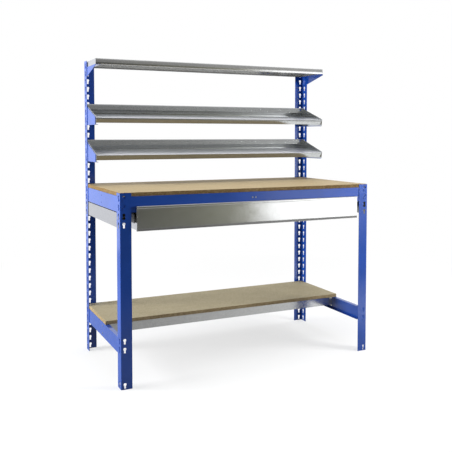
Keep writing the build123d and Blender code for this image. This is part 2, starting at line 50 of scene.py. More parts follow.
print("frame loaded:", len(frame["nodes"]), "nodes")


# Node trees

def connect(tree, node, inputs):
    # Each input takes either a socket to link from, or a number or colour of its own
    for key, value in inputs.items():
        if isinstance(value, bpy.types.NodeSocket):
            tree.links.new(value, node.inputs[key])
        else:
            node.inputs[key].default_value = value


def newMaterial(name):
    material = bpy.data.materials.new(name)
    material.use_nodes = True
    tree = material.node_tree
    return material, tree, tree.nodes["Principled BSDF"]


def addNode(tree, kind, inputs=None, **settings):
    # A node of a kind with its settings and inputs
    node = tree.nodes.new("ShaderNode" + kind)
    for key, value in settings.items():
        setattr(node, key, value)
    connect(tree, node, inputs or {})
    return node


def worked(tree, operation, *values):
    # The result of a Math node's operation on its values, in order
    return addNode(tree, "Math", dict(enumerate(values)), operation=operation).outputs["Value"]


def noise(tree, point, scale, detail):
    return addNode(tree, "TexNoise", {"Vector": point, "Scale": scale, "Detail": detail}).outputs


def cells(tree, point, scale):
    # Grey tone of each cell of a Voronoi pattern
    colour = addNode(tree, "TexVoronoi", {"Vector": point, "Scale": scale, "Randomness": 1.0}).outputs["Color"]
    return addNode(tree, "RGBToBW", {"Color": colour}).outputs["Val"]


def bumped(tree, height, strength, depth, **inputs):
    # The normal tilted by the slope of a height, of which 1 stands for the depth in millimetres
    inputs.update({"Height": height, "Strength": strength, "Distance": depth * mm})
    return addNode(tree, "Bump", inputs).outputs["Normal"]


def colourRamp(tree, factor, stops):
    # A ramp through (position, colour) stops
    node = addNode(tree, "ValToRGB", {"Fac": factor})
    elements = node.color_ramp.elements
    while len(elements) < len(stops):
        elements.new(0.5)  # moved to its own position below
    for element, (position, colour) in zip(elements, stops):
        element.position = position
        element.color = (*colour, 1)
    return node.outputs["Color"]


def objectPoint(tree, stretch=(1, 1, 1)):
    # Object coordinates, stretched per axis
    coordinate = addNode(tree, "TexCoord").outputs["Object"]
    return addNode(tree, "Mapping", {"Vector": coordinate, "Scale": stretch}).outputs["Vector"]


mixSockets = {"factor": 0, "first": 6, "second": 7, "result": 2}  # of a Mix node that is set to colours


def mixColour(tree, factor, first, second, blend="MIX"):
    # The first colour, which gives way to its blend with the second as the factor goes from 0 to 1
    node = addNode(tree, "Mix", data_type="RGBA", blend_type=blend)
    inputs = {"factor": factor, "first": first, "second": second}
    connect(tree, node, {mixSockets[key]: value for key, value in inputs.items()})
    return node.outputs[mixSockets["result"]]


def rangeOf(tree, value, lowest, highest, fromLowest=0.0, fromHighest=1.0):
    # Lowest to highest as the value goes over its own range, and held at both ends
    inputs = {"From Min": fromLowest, "From Max": fromHighest, "To Min": lowest, "To Max": highest}
    return addNode(tree, "MapRange", {"Value": value, **inputs}).outputs["Result"]


def grey(value):
    return (value, value, value, 1)


paintLook = {
    "deep": (0.009, 0.063, 0.350), "pale": (0.015, 0.078, 0.420),
    "driftScale": 7.0, "driftDetail": 3.0, "driftRange": (0.35, 0.65), "roughness": (0.15, 0.21),
    "peelScale": 620, "peelDetail": 2.0, "peel": 0.06, "peelDepth": 0.4,
    "coat": 0.22, "coatRoughness": 0.07, "softEdge": 0.5, "softSamples": 4,
}


def bluePaint():
    # Semi-gloss powder coat: slow drift of tone, fine orange peel, corners softened by the coat
    look = paintLook
    material, tree, shader = newMaterial("bluePaint")
    point = objectPoint(tree)
    drift = noise(tree, point, look["driftScale"], look["driftDetail"])["Fac"]
    peel = noise(tree, point, look["peelScale"], look["peelDetail"])["Fac"]
    corner = addNode(tree, "Bevel", {"Radius": look["softEdge"] * mm}, samples=look["softSamples"]).outputs["Normal"]
    connect(tree, shader, {
        "Base Color": colourRamp(tree, drift, list(zip(look["driftRange"], (look["deep"], look["pale"])))),
        "Roughness": rangeOf(tree, drift, *look["roughness"]),
        "Normal": bumped(tree, peel, look["peel"], look["peelDepth"], Normal=corner),
        "Coat Weight": look["coat"],
        "Coat Roughness": look["coatRoughness"],
    })
    return material


# What all zinc shares, and what a sheet has unless its own look says otherwise
zincLook = {
    "spangle": 70, "grain": (5, 190, 190), "grainDetail": 4.0, "grainShare": 0.55,
    "cloudScale": 3.0, "cloudDetail": 3.0, "cloudShare": 0.45, "toneRange": (0.2, 0.8),
    "driftShare": 0.5, "driftRange": (0.35, 0.7), "bump": 0.003, "bumpDepth": 0.2, "dustRough": 0.20,
    "facingDown": (-0.13, -0.03), "facingUp": (0.6, 0.95),  # Z of the normal
    "guideRange": (0.614, 0.618),  # metres from the bench's middle, just inside a guide's outer wall, where the painted shade of the guide's channel sets in
}
plainSheet = {"metal": 0.86, "dusty": (0.56, 0.565, 0.56), "dustMetal": 0.40, "shaded": 1.0, "inner": 1.0}
sheetLooks = {
    "galvanisedSheet": {
        "dark": (0.53, 0.53, 0.515), "light": (0.66, 0.665, 0.66), "drift": (0.62, 0.615, 0.58),
        "roughness": (0.09, 0.13),
    },
    # The trays darken strongly where they face down (painted shade) and turn near white where they face up (dust and a
    # painted sheen)
    "traySheet": {
        "dark": (0.53, 0.545, 0.54), "light": (0.66, 0.68, 0.685), "drift": (0.61, 0.63, 0.61),
        "roughness": (0.12, 0.17), "dusty": (0.88, 0.89, 0.92), "dustMetal": 0.12, "shaded": 0.52,
    },
    # A darker copy of the zinc for the drawer guides, near black inwards of the outer wall: painted shade of the
    # guide's channel
    "guideSheet": {
        "dark": (0.38, 0.38, 0.375), "light": (0.48, 0.485, 0.485), "drift": (0.44, 0.44, 0.43),
        "roughness": (0.14, 0.20), "inner": 0.05,
    },
    # A darker, bluish copy of the zinc: painted shade of the stud head behind the left front keyhole, also put on the
    # hidden worktop tie
    "studSheet": {
        "dark": (0.26, 0.29, 0.36), "light": (0.34, 0.37, 0.44), "drift": (0.30, 0.33, 0.40),
        "roughness": (0.30, 0.40), "metal": 0.3,
    },
    "railSheet": {
        "dark": (0.48, 0.485, 0.48), "light": (0.60, 0.61, 0.60), "drift": (0.55, 0.555, 0.55),
        "roughness": (0.15, 0.24),
    },
    "slideSteel": {
        "dark": (0.025, 0.025, 0.028), "light": (0.055, 0.055, 0.060), "drift": (0.035, 0.035, 0.040),
        "roughness": (0.30, 0.40),
    },
}


def zincSheet(name, ownLook):
    # Zinc sheet: faint crystal spangle and rolling lines, a slow drift of tone, satin gloss, dust and a painted sheen
    # where it faces up, and painted shade by the look's shares where it faces down and inwards of a guide's outer wall
    look = {**zincLook, **plainSheet, **ownLook}
    material, tree, shader = newMaterial(name)
    point = objectPoint(tree)
    crystal = cells(tree, point, look["spangle"])
    grain = noise(tree, objectPoint(tree, look["grain"]), 1.0, look["grainDetail"])["Fac"]
    cloud = noise(tree, point, look["cloudScale"], look["cloudDetail"])["Fac"]
    blend = mixColour(tree, look["grainShare"], crystal, grain)
    blend = mixColour(tree, look["cloudShare"], blend, cloud)
    colour = colourRamp(tree, blend, list(zip(look["toneRange"], (look["dark"], look["light"]))))
    drifted = rangeOf(tree, cloud, 0.0, look["driftShare"], *look["driftRange"])
    colour = mixColour(tree, drifted, colour, (*look["drift"], 1))
    normal = addNode(tree, "NewGeometry").outputs["Normal"]
    facing = addNode(tree, "SeparateXYZ", {"Vector": normal}).outputs["Z"]
    # Painted shade: darker where the sheet faces down, by the look's share
    shadeBelow = rangeOf(tree, facing, look["shaded"], 1.0, *look["facingDown"])
    sideways = worked(tree, "ABSOLUTE", addNode(tree, "SeparateXYZ", {"Vector": point}).outputs["X"])
    # Painted shade: darker inwards of a guide's outer wall, by the look's inner share
    recessShade = rangeOf(tree, sideways, look["inner"], 1.0, *look["guideRange"])
    shade = worked(tree, "MULTIPLY", shadeBelow, recessShade)
    dust = rangeOf(tree, facing, 0.0, 1.0, *look["facingUp"])
    # Dust and a painted sheen: paler and less metallic where the sheet faces up
    colour = mixColour(tree, dust, colour, (*look["dusty"], 1))
    gloss = rangeOf(tree, blend, *look["roughness"])
    connect(tree, shader, {
        "Base Color": mixColour(tree, 1.0, colour, shade, "MULTIPLY"),
        "Roughness": mixColour(tree, dust, gloss, worked(tree, "ADD", gloss, look["dustRough"])),
        "Metallic": rangeOf(tree, dust, look["metal"], min(look["metal"], look["dustMetal"])),
        "Normal": bumped(tree, blend, look["bump"], look["bumpDepth"]),
    })
    return material


# What all particle board shares, and each cut of it: four tones from dark chips to light ones
boardLook = {
    "stretch": (1.0, 1.35, 1.8), "warpScale": 0.6, "warpDetail": 2.0, "warp": 0.006,
    "dustScale": 900, "dustDetail": 3.0, "dustShare": 0.4,
    "cloudScale": 9.0, "cloudDetail": 5.0, "cloudShare": 0.3, "bump": 0.5,
}
faceCut = {"stops": (0.0, 0.42, 0.62, 1.0), "flakeScale": 210, "bumpDepth": 0.2}
edgeCut = {"stops": (0.0, 0.45, 0.70, 1.0), "flakeScale": 150, "bumpDepth": 0.8, "roughness": 0.85}
boardLooks = {
    "boardFace": {
        **faceCut, "roughness": 0.62,
        "tones": ((0.33, 0.235, 0.115), (0.465, 0.36, 0.198), (0.54, 0.425, 0.243), (0.63, 0.525, 0.33)),
    },
    "shelfFace": {
        **faceCut, "roughness": 0.66,
        "tones": ((0.24, 0.19, 0.108), (0.385, 0.328, 0.203), (0.46, 0.397, 0.257), (0.57, 0.51, 0.36)),
    },
    "boardEdge": {
        **edgeCut,
        "tones": ((0.058, 0.033, 0.013), (0.175, 0.112, 0.046), (0.28, 0.195, 0.092), (0.43, 0.33, 0.18)),
    },
    "shelfEdge": {
        **edgeCut,
        "tones": ((0.10, 0.067, 0.030), (0.26, 0.195, 0.105), (0.38, 0.30, 0.175), (0.50, 0.42, 0.27)),
    },
}


def particleBoard(name, ownLook):
    # Pressed chips: flattened cells of mixed tones with fine dust between them
    look = {**boardLook, **ownLook}
    material, tree, shader = newMaterial(name)
    point = objectPoint(tree, look["stretch"])
    warp = noise(tree, point, look["flakeScale"] * look["warpScale"], look["warpDetail"])["Color"]
    flake = cells(tree, mixColour(tree, look["warp"], point, warp), look["flakeScale"])
    dust = noise(tree, point, look["dustScale"], look["dustDetail"])["Fac"]
    cloud = noise(tree, point, look["cloudScale"], look["cloudDetail"])["Fac"]
    blend = mixColour(tree, look["dustShare"], flake, dust)
    blend = mixColour(tree, look["cloudShare"], blend, cloud)
    connect(tree, shader, {
        "Base Color": colourRamp(tree, blend, list(zip(look["stops"], look["tones"]))),
        "Normal": bumped(tree, blend, look["bump"], look["bumpDepth"]),
        "Roughness": look["roughness"],
    })
    return material


nylonLook = {
    "scale": 160.0, "detail": 3.0, "stops": [(0.3, (0.70, 0.69, 0.63)), (0.7, (0.80, 0.79, 0.74))], "roughness": 0.42,
}


def mouldedNylon():
    # Off-white moulded nylon with a faint bloom
    material, tree, shader = newMaterial("mouldedNylon")
    cloud = noise(tree, objectPoint(tree), nylonLook["scale"], nylonLook["detail"])["Fac"]
    connect(tree, shader, {
        "Base Color": colourRamp(tree, cloud, nylonLook["stops"]),
        "Roughness": nylonLook["roughness"],
    })
    return material


blue = bluePaint()
zinc, trayZinc, shadedGuideZinc, shadedStudZinc, railZinc, slideSteel = [zincSheet(*look) for look in sheetLooks.items()]
boardFace, shelfFace, boardEdge, shelfEdge = [particleBoard(*look) for look in boardLooks.items()]
nylon = mouldedNylon()
slotLooks = {"blue_paint": blue, "galvanised_sheet": zinc, "chipboard": boardFace, "nylon": nylon}
sheetNodes = {"shelf_front_rail": railZinc, "worktop_tie": shadedStudZinc}
for side in ("left", "right"):
    for part, look in (("cabinet_slide_", slideSteel), ("drawer_slide_", slideSteel), ("drawer_guide_", shadedGuideZinc)):
        sheetNodes[part + side] = look
for part in frame["record"]["subparts"]:
    node = frame["nodes"][part["node"]]
    node.data.materials.clear()
    node.data.materials.append(sheetNodes.get(part["node"], slotLooks[part["material_slot"]]))
print("materials made")


# Mesh building

meshSettings = {"weld": 1e-6, "shortest": 1e-6, "arcSteps": 5, "smoothUnder": 32}


def gridFaces(rows, columns, wrap=False):
    # Quads between neighbouring rows and columns of a grid of points, the last column joined to the first if wrapped
    index = np.arange(rows * columns).reshape(rows, columns)
    if wrap:
        index = np.hstack([index, index[:, :1]])
    return np.stack([index[:-1, :-1], index[1:, :-1], index[1:, 1:], index[:-1, 1:]], -1).reshape(-1, 4)


def addPiece(
    name, points, faces, materials, body, slot, replaces=(), looks=None, merge=False,
    smoothUnder=meshSettings["smoothUnder"],
):
    # Puts points (mm) and faces into an object at the origin that rides on a body,
    # with looks as the number of each face's material
    mesh = bpy.data.meshes.new(name)
    mesh.from_pydata((np.asarray(points, float).reshape(-1, 3) * mm).tolist(), [], faces)
    for material in materials:
        mesh.materials.append(material)
    if looks is not None:
        mesh.polygons.foreach_set("material_index", np.asarray(looks, np.int32))
    shell = bmesh.new()
    shell.from_mesh(mesh)
    if merge:
        bmesh.ops.remove_doubles(shell, verts=shell.verts, dist=meshSettings["weld"])
    bmesh.ops.recalc_face_normals(shell, faces=shell.faces)
    shell.to_mesh(mesh)
    shell.free()
    mesh.polygons.foreach_set("use_smooth", np.ones(len(mesh.polygons), bool))
    mesh.set_sharp_from_angle(angle=math.radians(smoothUnder))
    piece = bpy.data.objects.new(name, mesh)
    scene.collection.objects.link(piece)
    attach(piece, body)
    if replaces:
        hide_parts(*replaces)
    return piece


def roundedPath(corners, radius):
    # Each inner corner gives way to an arc of the given radius that touches both of its runs
    corners = np.asarray(corners, float)
    share = np.linspace(0, 1, meshSettings["arcSteps"])[:, None]
    path = [corners[:1]]
    for before, corner, after in zip(corners[:-2], corners[1:-1], corners[2:]):
        back, ahead = before - corner, after - corner
        back, ahead = back / np.linalg.norm(back), ahead / np.linalg.norm(ahead)
        half = math.acos(np.clip(back @ ahead, -1, 1)) / 2
        middle = (back + ahead) / np.linalg.norm(back + ahead)
        centre = corner + middle * radius / math.sin(half)
        start = corner + back * radius / math.tan(half) - centre
        end = corner + ahead * radius / math.tan(half) - centre
        turn = math.pi - 2 * half
        path.append(centre + (np.sin((1 - share) * turn) * start + np.sin(share * turn) * end) / math.sin(turn))
    path = np.vstack(path + [corners[-1:]])
    apart = np.linalg.norm(np.diff(path, axis=0), axis=1) > meshSettings["shortest"]
    return path[np.concatenate([[True], apart])]


def refined(path, spacing):
    # The same path with points added on its long runs, none further apart than the spacing
    lengths = np.linalg.norm(np.diff(path, axis=0), axis=1)
    along = np.concatenate([[0], np.cumsum(lengths)])
    counts = np.maximum(1, np.ceil(lengths / spacing).astype(int))
    runs = zip(along[:-1], along[1:], counts)
    marks = np.concatenate([np.linspace(start, end, count, endpoint=False) for start, end, count in runs])
    marks = np.append(marks, along[-1])
    return np.stack([np.interp(marks, along, path[:, axis]) for axis in (0, 1)], -1), marks


def pathNormals(path):
    # The mean direction of the runs on both sides of each point, turned a quarter to the left
    runs = np.diff(path, axis=0)
    runs /= np.linalg.norm(runs, axis=1)[:, None]
    mean = np.vstack([runs[:1], runs[:-1] + runs[1:], runs[-1:]])
    mean /= np.linalg.norm(mean, axis=1)[:, None]
    return np.stack([-mean[:, 1], mean[:, 0]], -1)


foldSettings = {"spacing": 12.0, "station": 25.0, "ripples": (340.0, 190.0, 110.0), "rippleAcross": 0.6, "fade": 12.0}


def foldedSheet(name, corners, sheet, bend, ends, along="x", wave=0.0, seed=0, **piece):
    # A folded section carried along X or Y: middle line plus or minus half the sheet along its normal,
    # with slow ripples of the wave's height that fade at both ends of the section
    path, marks = refined(roundedPath(corners, bend), foldSettings["spacing"])
    normals = pathNormals(path)
    stations = np.linspace(ends[0], ends[1], max(2, int(abs(ends[1] - ends[0]) / foldSettings["station"])))
    random = np.random.default_rng(seed)
    ripple = np.zeros((len(stations), len(marks)))
    for size in foldSettings["ripples"]:
        shiftAlong, shiftAcross = random.uniform(0, 2 * math.pi, 2)
        lengthwise = np.sin(stations[:, None] / size * 2 * math.pi + shiftAlong)
        crosswise = np.cos(marks / (foldSettings["rippleAcross"] * size) * 2 * math.pi + shiftAcross)
        ripple += lengthwise * crosswise
    fade = np.clip(np.minimum(marks, marks[-1] - marks) / foldSettings["fade"], 0, 1)
    ripple *= wave / len(foldSettings["ripples"]) * fade
    sides = []
    for offset in (sheet / 2, -sheet / 2):
        pair = path + normals * (offset + ripple[..., None])
        run = np.broadcast_to(stations[:, None, None], (*ripple.shape, 1))
        order = (run, pair[..., :1], pair[..., 1:]) if along == "x" else (pair[..., :1], run, pair[..., 1:])
        sides.append(np.concatenate(order, -1))
    points = np.concatenate([sides[0], sides[1][:, ::-1]], 1)
    rows, columns = points.shape[:2]
    quads = gridFaces(rows, columns, wrap=True)
    near = np.arange(columns // 2 - 1)
    far = columns - 1 - near
    cap = np.stack([near, near + 1, far - 1, far], -1)
    faces = np.vstack([quads, cap, cap + (rows - 1) * columns])
    return addPiece(name, points, faces.tolist(), **piece)


plateSettings = {"edge": 0.25, "segments": 2}


def cutPlate(name, outline, x, sheet, **piece):
    # A flat plate: an outline in Y and Z, at x and at x plus the sheet, joined round its edge and slightly bevelled
    outline = np.asarray(outline, float)
    count = len(outline)
    sides = [np.column_stack([np.full(count, at), outline]) for at in (x, x + sheet)]
    first = np.arange(count)
    after = (first + 1) % count
    rim = np.stack([first, after, after + count, first + count], -1).tolist()
    faces = [first[::-1].tolist(), (first + count).tolist()] + rim
    plate = addPiece(name, np.vstack(sides), faces, **piece)
    edge = plate.modifiers.new("edge", "BEVEL")
    edge.width, edge.segments = plateSettings["edge"] * mm, plateSettings["segments"]
    return plate


def nodeCorners(node):
    # Lowest and highest corners of a node, in millimetres
    low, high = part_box(node)
    return np.array(low) / mm, np.array(high) / mm


# Boards
boardSettings = {
    "worktop": {"arris": 0.8, "chips": 0.9, "seed": 3},
    "lower_shelf_board": {"arris": 0.6, "chips": 0.7, "seed": 8},
}
sawSettings = {
    "spacing": 5.0, "faceRings": (14.0, 5.0), "arrisSteps": 4, "smoothUnder": 40,
    "chipFrom": 0.7, "chipMost": 2.2, "chipIn": 0.6, "chipDown": 0.35, "chipWeights": (0, 0, 0.6, 1, 1, 0.6),
}


def sawnBoard(name, node, face, edge):
    # A sawn board: its outline carried round a section with rounded arrises, which sink where a chip has broken out
    settings = {**sawSettings, **boardSettings[node]}
    low, high = nodeCorners(node)
    random = np.random.default_rng(settings["seed"])
    width, depth = high[0] - low[0], high[1] - low[1]
    perimeter = 2 * (width + depth)
    marks = np.linspace(0, perimeter, int(perimeter / settings["spacing"]), endpoint=False)
    sides = np.array([0, width, width + depth, 2 * width + depth, perimeter])
    marks = np.sort(np.concatenate([marks, sides[:4]]))
    outlineX = np.interp(marks, sides, [low[0], high[0], high[0], low[0], low[0]])
    outlineY = np.interp(marks, sides, [low[1], low[1], high[1], high[1], low[1]])
    middle = (low + high) / 2
    half = (high - low) / 2
    chips = random.normal(0, 1, (len(marks), 2)) - settings["chipFrom"]
    chips = np.clip(chips, 0, settings["chipMost"]) * settings["chips"]

    # The upper half of the section, from the top face round its arris, and the same turned over below it
    arris = settings["arris"]
    angle = np.linspace(0, math.pi / 2, settings["arrisSteps"])
    rings = settings["faceRings"]
    inset = np.concatenate([rings, arris * (1 - np.sin(angle))])
    height = np.concatenate([np.zeros(len(rings)), arris * (1 - np.cos(angle))])
    weight = np.array(settings["chipWeights"])
    inset = np.concatenate([inset, inset[::-1]])
    height = np.concatenate([height, 2 * half[2] - height[::-1]])
    weight = np.concatenate([weight, weight[::-1]])
    columns = len(inset)
    upper = np.arange(columns) < columns // 2
    depthIn = inset + weight * np.where(upper, chips[:, :1], chips[:, 1:]) * settings["chipIn"]
    sunk = weight * np.where(upper, chips[:, :1], -chips[:, 1:]) * settings["chipDown"]
    x = middle[0] + (outlineX - middle[0])[:, None] * (1 - depthIn / half[0])
    y = middle[1] + (outlineY - middle[1])[:, None] * (1 - depthIn / half[1])
    z = high[2] - height - sunk
    points = np.stack([x, y, np.broadcast_to(z, x.shape)], -1)

    # The band of quads closes on its first marks, and a face fills each end of the section
    band = (gridFaces(len(marks) + 1, columns) % (len(marks) * columns)).tolist()
    column = np.tile(np.arange(columns - 1), len(marks))
    onFace = (column < len(rings)) | (column > columns - 2 - len(rings))
    looks = np.where(onFace, 0, 1).tolist()
    ring = np.arange(len(marks)) * columns
    faces = band + [ring.tolist(), (ring + columns - 1)[::-1].tolist()]
    return addPiece(
        name, points, faces, [face, edge], "frame", "chipboard", (node,), looks=looks + [0, 0],
        smoothUnder=settings["smoothUnder"],
    )


sawnBoard("worktopBoard", "worktop", boardFace, boardEdge)
sawnBoard("lowerShelfBoard", "lower_shelf_board", shelfFace, shelfEdge)
print("boards made")

# Top shelf: pan with turned-down lips on all four sides
shelfSettings = {"sheet": 1.0, "bend": 1.6, "return": 10.0, "wave": 0.12, "slot": 1.2, "seed": 11}
zincPiece = {"materials": [zinc], "slot": "galvanised_sheet"}


def topShelf():
    # One section carried along X between the end lips, and one lip at each end carried along Y
    low, high = nodeCorners("top_shelf")
    sheet, bend, fold = shelfSettings["sheet"], shelfSettings["bend"], shelfSettings["return"]
    half = sheet / 2
    piece = {"body": "frame", "replaces": ("top_shelf",), **zincPiece}
    section = [
        (low[1] + fold, low[2] + half), (low[1] + half, low[2] + half), (low[1] + half, high[2] - half),
        (high[1] - half, high[2] - half), (high[1] - half, low[2] + half), (high[1] - fold, low[2] + half),
    ]
    ends = (low[0] + bend + half, high[0] - bend - half)
    foldedSheet(
        "topShelfPan", section, sheet, bend, ends, wave=shelfSettings["wave"], seed=shelfSettings["seed"], **piece,
    )
    ends = (low[1] + shelfSettings["slot"], high[1] - shelfSettings["slot"])
    for side, edge, inward in (("Left", low[0], 1), ("Right", high[0], -1)):
        lip = [
            (edge + inward * (bend + half), high[2] - half), (edge + inward * half, high[2] - half),
            (edge + inward * half, low[2]),
        ]
        foldedSheet("topShelfEnd" + side, lip, sheet, bend, ends, along="y", **piece)


topShelf()
print("top shelf made")

# Tilted trays: one folded strip each, with end plates
traySettings = {
    "sheet": 1.0, "bend": 0.9, "tilt": 6.0, "floor": 210.0, "rear": 50.0, "rearGap": 0.9,
    "lip": 25.0, "lipReturn": 10.0, "lipLean": 8.5, "hem": 26.0, "hemTop": 1.9, "hemFoot": 5.9,
    "endRise": 4.0, "endDrop": 6.0, "wave": 0.08,
}
trayPiece = {"materials": [trayZinc], "slot": "galvanised_sheet", "body": "frame"}


def tiltedTray(name, node, seed):
    # The section turned by the tilt about the floor's front edge, then carried along X
    settings = traySettings
    sheet, lip, floor, rear = [settings[key] for key in ("sheet", "lip", "floor", "rear")]
    low, high = nodeCorners(node)
    tilt = math.radians(settings["tilt"])
    half = sheet / 2
    lipBottom = low[2] + settings["endDrop"]
    rearY = high[1] - settings["rearGap"]
    base = np.array([rearY - floor * math.cos(tilt), lipBottom + lip * math.cos(tilt)])

    def turned(depth, rise):
        return base + [depth * math.cos(tilt) - rise * math.sin(tilt), depth * math.sin(tilt) + rise * math.cos(tilt)]

    lean = settings["lipLean"]
    section = [
        turned(lean + settings["lipReturn"], half - lip), turned(lean, half - lip), turned(half, -half),
        turned(floor - half, -half), turned(floor - half, rear - half),
        turned(floor - settings["hemTop"], rear - half), turned(floor - settings["hemFoot"], rear - settings["hem"]),
    ]
    foldedSheet(
        name + "Pan", section, sheet, settings["bend"], (low[0] + sheet, high[0] - sheet),
        wave=settings["wave"], seed=seed, replaces=(node,), **trayPiece,
    )
    lipFoot, rearTop = turned(0, -lip), turned(floor, rear)
    outline = [
        (rearY, low[2]), (lipFoot[0], low[2]), lipFoot, turned(0, settings["endRise"]), rearTop, (rearY, rearTop[1]),
    ]
    for side, x in (("Left", low[0]), ("Right", high[0] - sheet)):
        cutPlate(name + "End" + side, outline, x, sheet, replaces=(node,), **trayPiece)


for name, node, seed in (("upperTray", "upper_tray", 21), ("lowerTray", "lower_tray", 34)):
    tiltedTray(name, node, seed)
print("trays made")

# Drawer front: folded pan with a hem that stands proud along its top
frontSettings = {"sheet": 1.0, "bend": 0.55, "hem": 8.0, "hemStep": 1.4, "lip": 18.0, "wave": 0.1, "seed": 5}


def drawerFront():
    # The section of the pan from its upper to its lower rear lip, carried along X, and a plate at each end
    low, high = nodeCorners("drawer_front")
    sheet, lip, wave = [frontSettings[key] for key in ("sheet", "lip", "wave")]
    half = sheet / 2
    hemY = low[1] + half + wave
    hemFoot = high[2] - frontSettings["hem"]
    faceY = low[1] + sheet
    piece = {"body": "drawer", "replaces": ("drawer_front",), **zincPiece}
    section = [
        (high[1] - half, high[2] - lip), (high[1] - half, high[2] - half), (hemY, high[2] - half),
        (hemY, hemFoot), (faceY + half, hemFoot - frontSettings["hemStep"]),
        (faceY + half, low[2] + half), (high[1] - half, low[2] + half), (high[1] - half, low[2] + lip),
    ]
    ends = (low[0] + sheet, high[0] - sheet)
    foldedSheet(
        "drawerFrontPan", section, sheet, frontSettings["bend"], ends, wave=wave, seed=frontSettings["seed"], **piece,
    )
    outline = [
        (faceY, low[2]), (high[1], low[2]), (high[1], high[2]), (low[1], high[2]), (low[1], hemFoot), (faceY, hemFoot),
    ]
    for side, x in (("Left", low[0]), ("Right", high[0] - sheet)):
        cutPlate("drawerFrontEnd" + side, outline, x, sheet, **piece)


drawerFront()
print("drawer front made")

# Stud heads: domed over the flat heads of the frame, on numbered rows of holes counted up from the floor
studSettings = {
    "radius": 6.5, "height": 1.7, "pitch": 37.5, "first": 16.0, "drop": 7.7,
    "faceX": 608.0, "sideY": 283.0, "sideFace": 625.1, "frontFace": 305.1,
    "beamRows": (20, 21), "lowerRows": (4, 5), "guideRows": (18, 19), "bracketRows": (25, 26, 30, 31, 36, 37),
    "frontGuideRow": (19,),
    "profileOut": (0.0, 0.35, 0.7, 1.0, 1.0, 0.0), "profileUp": (1.0, 0.93, 0.66, 0.12, -0.6, -0.6),
    "sectors": 14, "smoothUnder": 50,
}


def domes(name, places, direction, **piece):
    # Low caps: the profile's outward shares of the radius turned about the direction,
    # and its upward shares of the height along the direction, closed by a flat base
    outward = np.array(studSettings["profileOut"])
    rise = np.array(studSettings["profileUp"]) * studSettings["height"]
    turn = np.linspace(0, 2 * math.pi, studSettings["sectors"], endpoint=False)
    direction = np.asarray(direction, float)
    upward = np.array([0, 0, 1.0])
    across = np.cross(direction, upward)
    circle = np.cos(turn)[:, None] * upward + np.sin(turn)[:, None] * across
    cap = studSettings["radius"] * outward[:, None, None] * circle + rise[:, None, None] * direction
    points = np.asarray(places, float)[:, None, None] + cap
    quads = gridFaces(len(outward), len(turn), wrap=True)
    offsets = np.arange(len(places)) * cap.shape[0] * cap.shape[1]
    faces = (quads[None] + offsets[:, None, None]).reshape(-1, 4)
    smoothUnder = studSettings["smoothUnder"]
    return addPiece(name, points, faces.tolist(), body="frame", merge=True, smoothUnder=smoothUnder, **piece)


def studPlaces(spots, *rowNames):
    # Each spot in X and Y at each row: the first hole plus whole pitches, less the stud's drop in its keyhole
    rows = [row for rowName in rowNames for row in studSettings[rowName]]
    first, pitch, drop = [studSettings[key] for key in ("first", "pitch", "drop")]
    return [(x, y, first + pitch * row - drop) for x, y in spots for row in rows]


def studHeads():
    # Heads on the side flanges, then on the front and rear flanges of all four posts
    faceX, sideY, sideFace, frontFace = [studSettings[key] for key in ("faceX", "sideY", "sideFace", "frontFace")]
    paintPiece = {"materials": [blue], "slot": "blue_paint"}
    for side, sign in (("Left", -1), ("Right", 1)):
        spots = [(sign * sideFace, end * sideY) for end in (-1, 1)]
        places = studPlaces(spots, "beamRows", "lowerRows") + studPlaces(spots[1:], "bracketRows")
        domes("studHeads" + side, places, (sign, 0, 0), **paintPiece)
        domes("guideStudHeads" + side, studPlaces(spots, "guideRows"), (sign, 0, 0), **zincPiece)
    places = studPlaces([(sign * faceX, -frontFace) for sign in (-1, 1)], "beamRows")
    domes("studHeadsFront", places, (0, -1, 0), **paintPiece)
    places = studPlaces([(sign * faceX, frontFace) for sign in (-1, 1)], "beamRows", "lowerRows")
    domes("studHeadsRear", places, (0, 1, 0), **paintPiece)
    # The guide stud heads behind the front keyholes: darker bluish zinc on the left, near-black steel on the right,
    # painted shade of the keyholes
    for side, sign, look in (("Left", -1, shadedStudZinc), ("Right", 1, slideSteel)):
        places = studPlaces([(sign * faceX, -frontFace)], "frontGuideRow")
        domes("guideStudHeadFront" + side, places, (0, -1, 0), materials=[look], slot="galvanised_sheet")


studHeads()
print("stud heads made")

# Floor: matt near the bench, fading to plain white further out (metres)
floorSettings = {
    "radius": 3.4, "rings": 12, "sectors": 72, "spread": 1.5, "fade": (1.2, 2.8), "near": 0.62,
    "tone": 0.95, "bounce": 0.15, "roughness": 0.9, "specular": 0.1,
    "mirrored": (0.40, 0.72), "mirroredX": (-0.5, 0.6), "mirroredRight": 2.3, "rightX": (0.8, 1.1),
    "mirroredFar": 0.15, "farY": (-2.0, -1.0),
}


